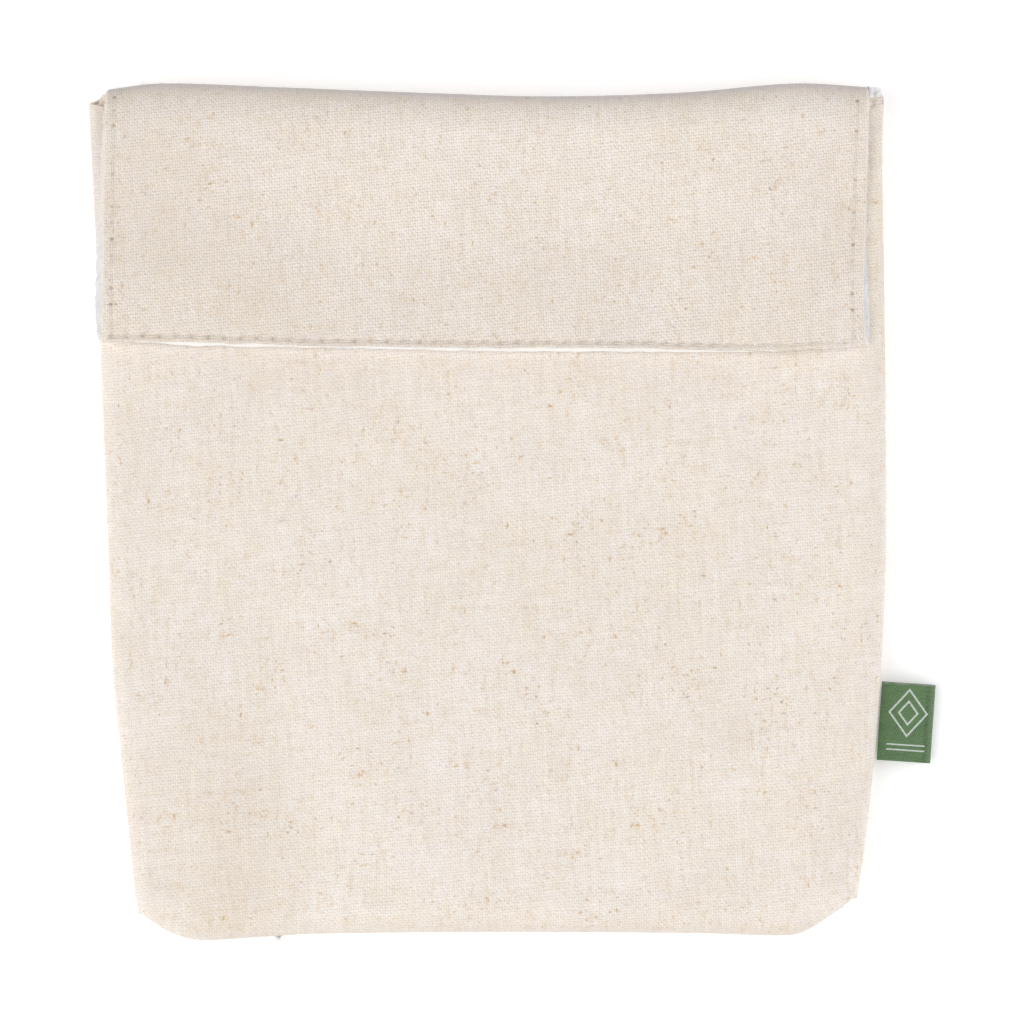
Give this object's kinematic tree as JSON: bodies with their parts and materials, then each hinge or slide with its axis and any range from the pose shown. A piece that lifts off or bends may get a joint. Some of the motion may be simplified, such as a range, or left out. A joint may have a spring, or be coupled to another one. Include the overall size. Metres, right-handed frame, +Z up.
{
  "type": "insulated canvas pouch bag",
  "caption": "Small insulated pouch of natural canvas with boxed lower corners, lying flat on its back, its back wall rolled over at the top as a stitched front flap.",
  "frame": {"origin": "on the table, under the middle of the box around the bag and its label", "axes": "+Z up from the table through the back and front walls, +Y along the bag towards the top fold, +X to the right as the front is seen"},
  "size_m": [0.1978, 0.1999, 0.018],
  "materials": {
    "canvas": "unbleached plain weave with slubs and flecks",
    "lining": "smooth white, slightly waxy",
    "label": "green woven satin"
  },
  "bodies": {
    "root": {"front_panel": "canvas", "back_panel": "canvas", "flap_lining": "lining", "side_label": "label"}
  },
  "joints": []
}
